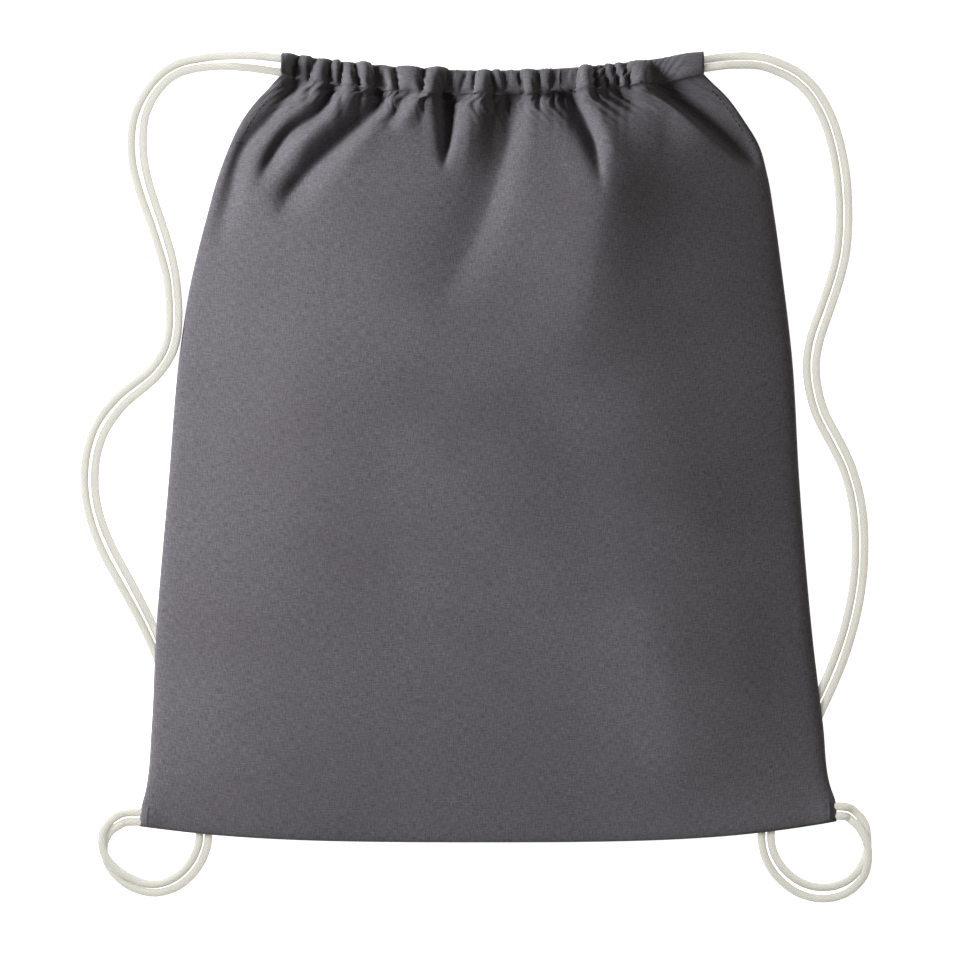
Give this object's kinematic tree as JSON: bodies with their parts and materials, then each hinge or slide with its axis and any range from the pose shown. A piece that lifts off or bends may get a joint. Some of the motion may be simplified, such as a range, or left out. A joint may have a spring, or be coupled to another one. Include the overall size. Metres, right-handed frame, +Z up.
{
  "type": "drawstring backpack",
  "caption": "Flat cotton drawstring backpack with a gathered mouth and two natural cotton drawcords that run through hemmed tunnels and end in the bottom corners",
  "frame": {"origin": "middle of the bag's footprint on the surface it lies on, cords left out", "axes": "X across the bag with the left drawcord on -X, Y from the bottom seam to the mouth, Z up from the surface through the back and the front"},
  "size_m": [0.4332, 0.4649, 0.025],
  "materials": {
    "bag_cloth": "matte charcoal plain weave cotton with fine slubs",
    "seam_allowance": "matte charcoal cotton, raw edge overlocked",
    "sewing_thread": "dark grey twisted polyester thread, slight sheen",
    "drawcord": "matte natural off-white braided cotton"
  },
  "bodies": {
    "bag": {"front_panel": "bag_cloth", "back_panel": "bag_cloth", "front_tunnel": "bag_cloth", "back_tunnel": "bag_cloth", "left_side_seam": "seam_allowance", "right_side_seam": "seam_allowance", "bottom_seam": "seam_allowance", "left_front_slit_hem": "seam_allowance", "left_back_slit_hem": "seam_allowance", "right_front_slit_hem": "seam_allowance", "right_back_slit_hem": "seam_allowance", "left_slit_bartack": "sewing_thread", "right_slit_bartack": "sewing_thread", "front_tunnel_stitching": "sewing_thread", "back_tunnel_stitching": "sewing_thread", "left_corner_bartack": "sewing_thread", "right_corner_bartack": "sewing_thread", "left_cord_tails": "drawcord", "right_cord_tails": "drawcord", "left_cord_front_leg": "drawcord", "left_cord_back_leg": "drawcord", "right_cord_front_leg": "drawcord", "right_cord_back_leg": "drawcord"},
    "left_drawcord": {"left_cord_tunnel_run": "drawcord"},
    "right_drawcord": {"right_cord_tunnel_run": "drawcord"}
  },
  "joints": [
    {"name": "left_drawcord_slide", "type": "hinge", "parent": "bag", "child": "left_drawcord", "pos_m": [0, 0.8635, 0], "axis": [0, 0, 1], "range_deg": [0, 1.72]},
    {"name": "right_drawcord_slide", "type": "hinge", "parent": "bag", "child": "right_drawcord", "pos_m": [0, 0.8635, 0], "axis": [0, 0, -1], "range_deg": [0, 1.72]}
  ]
}
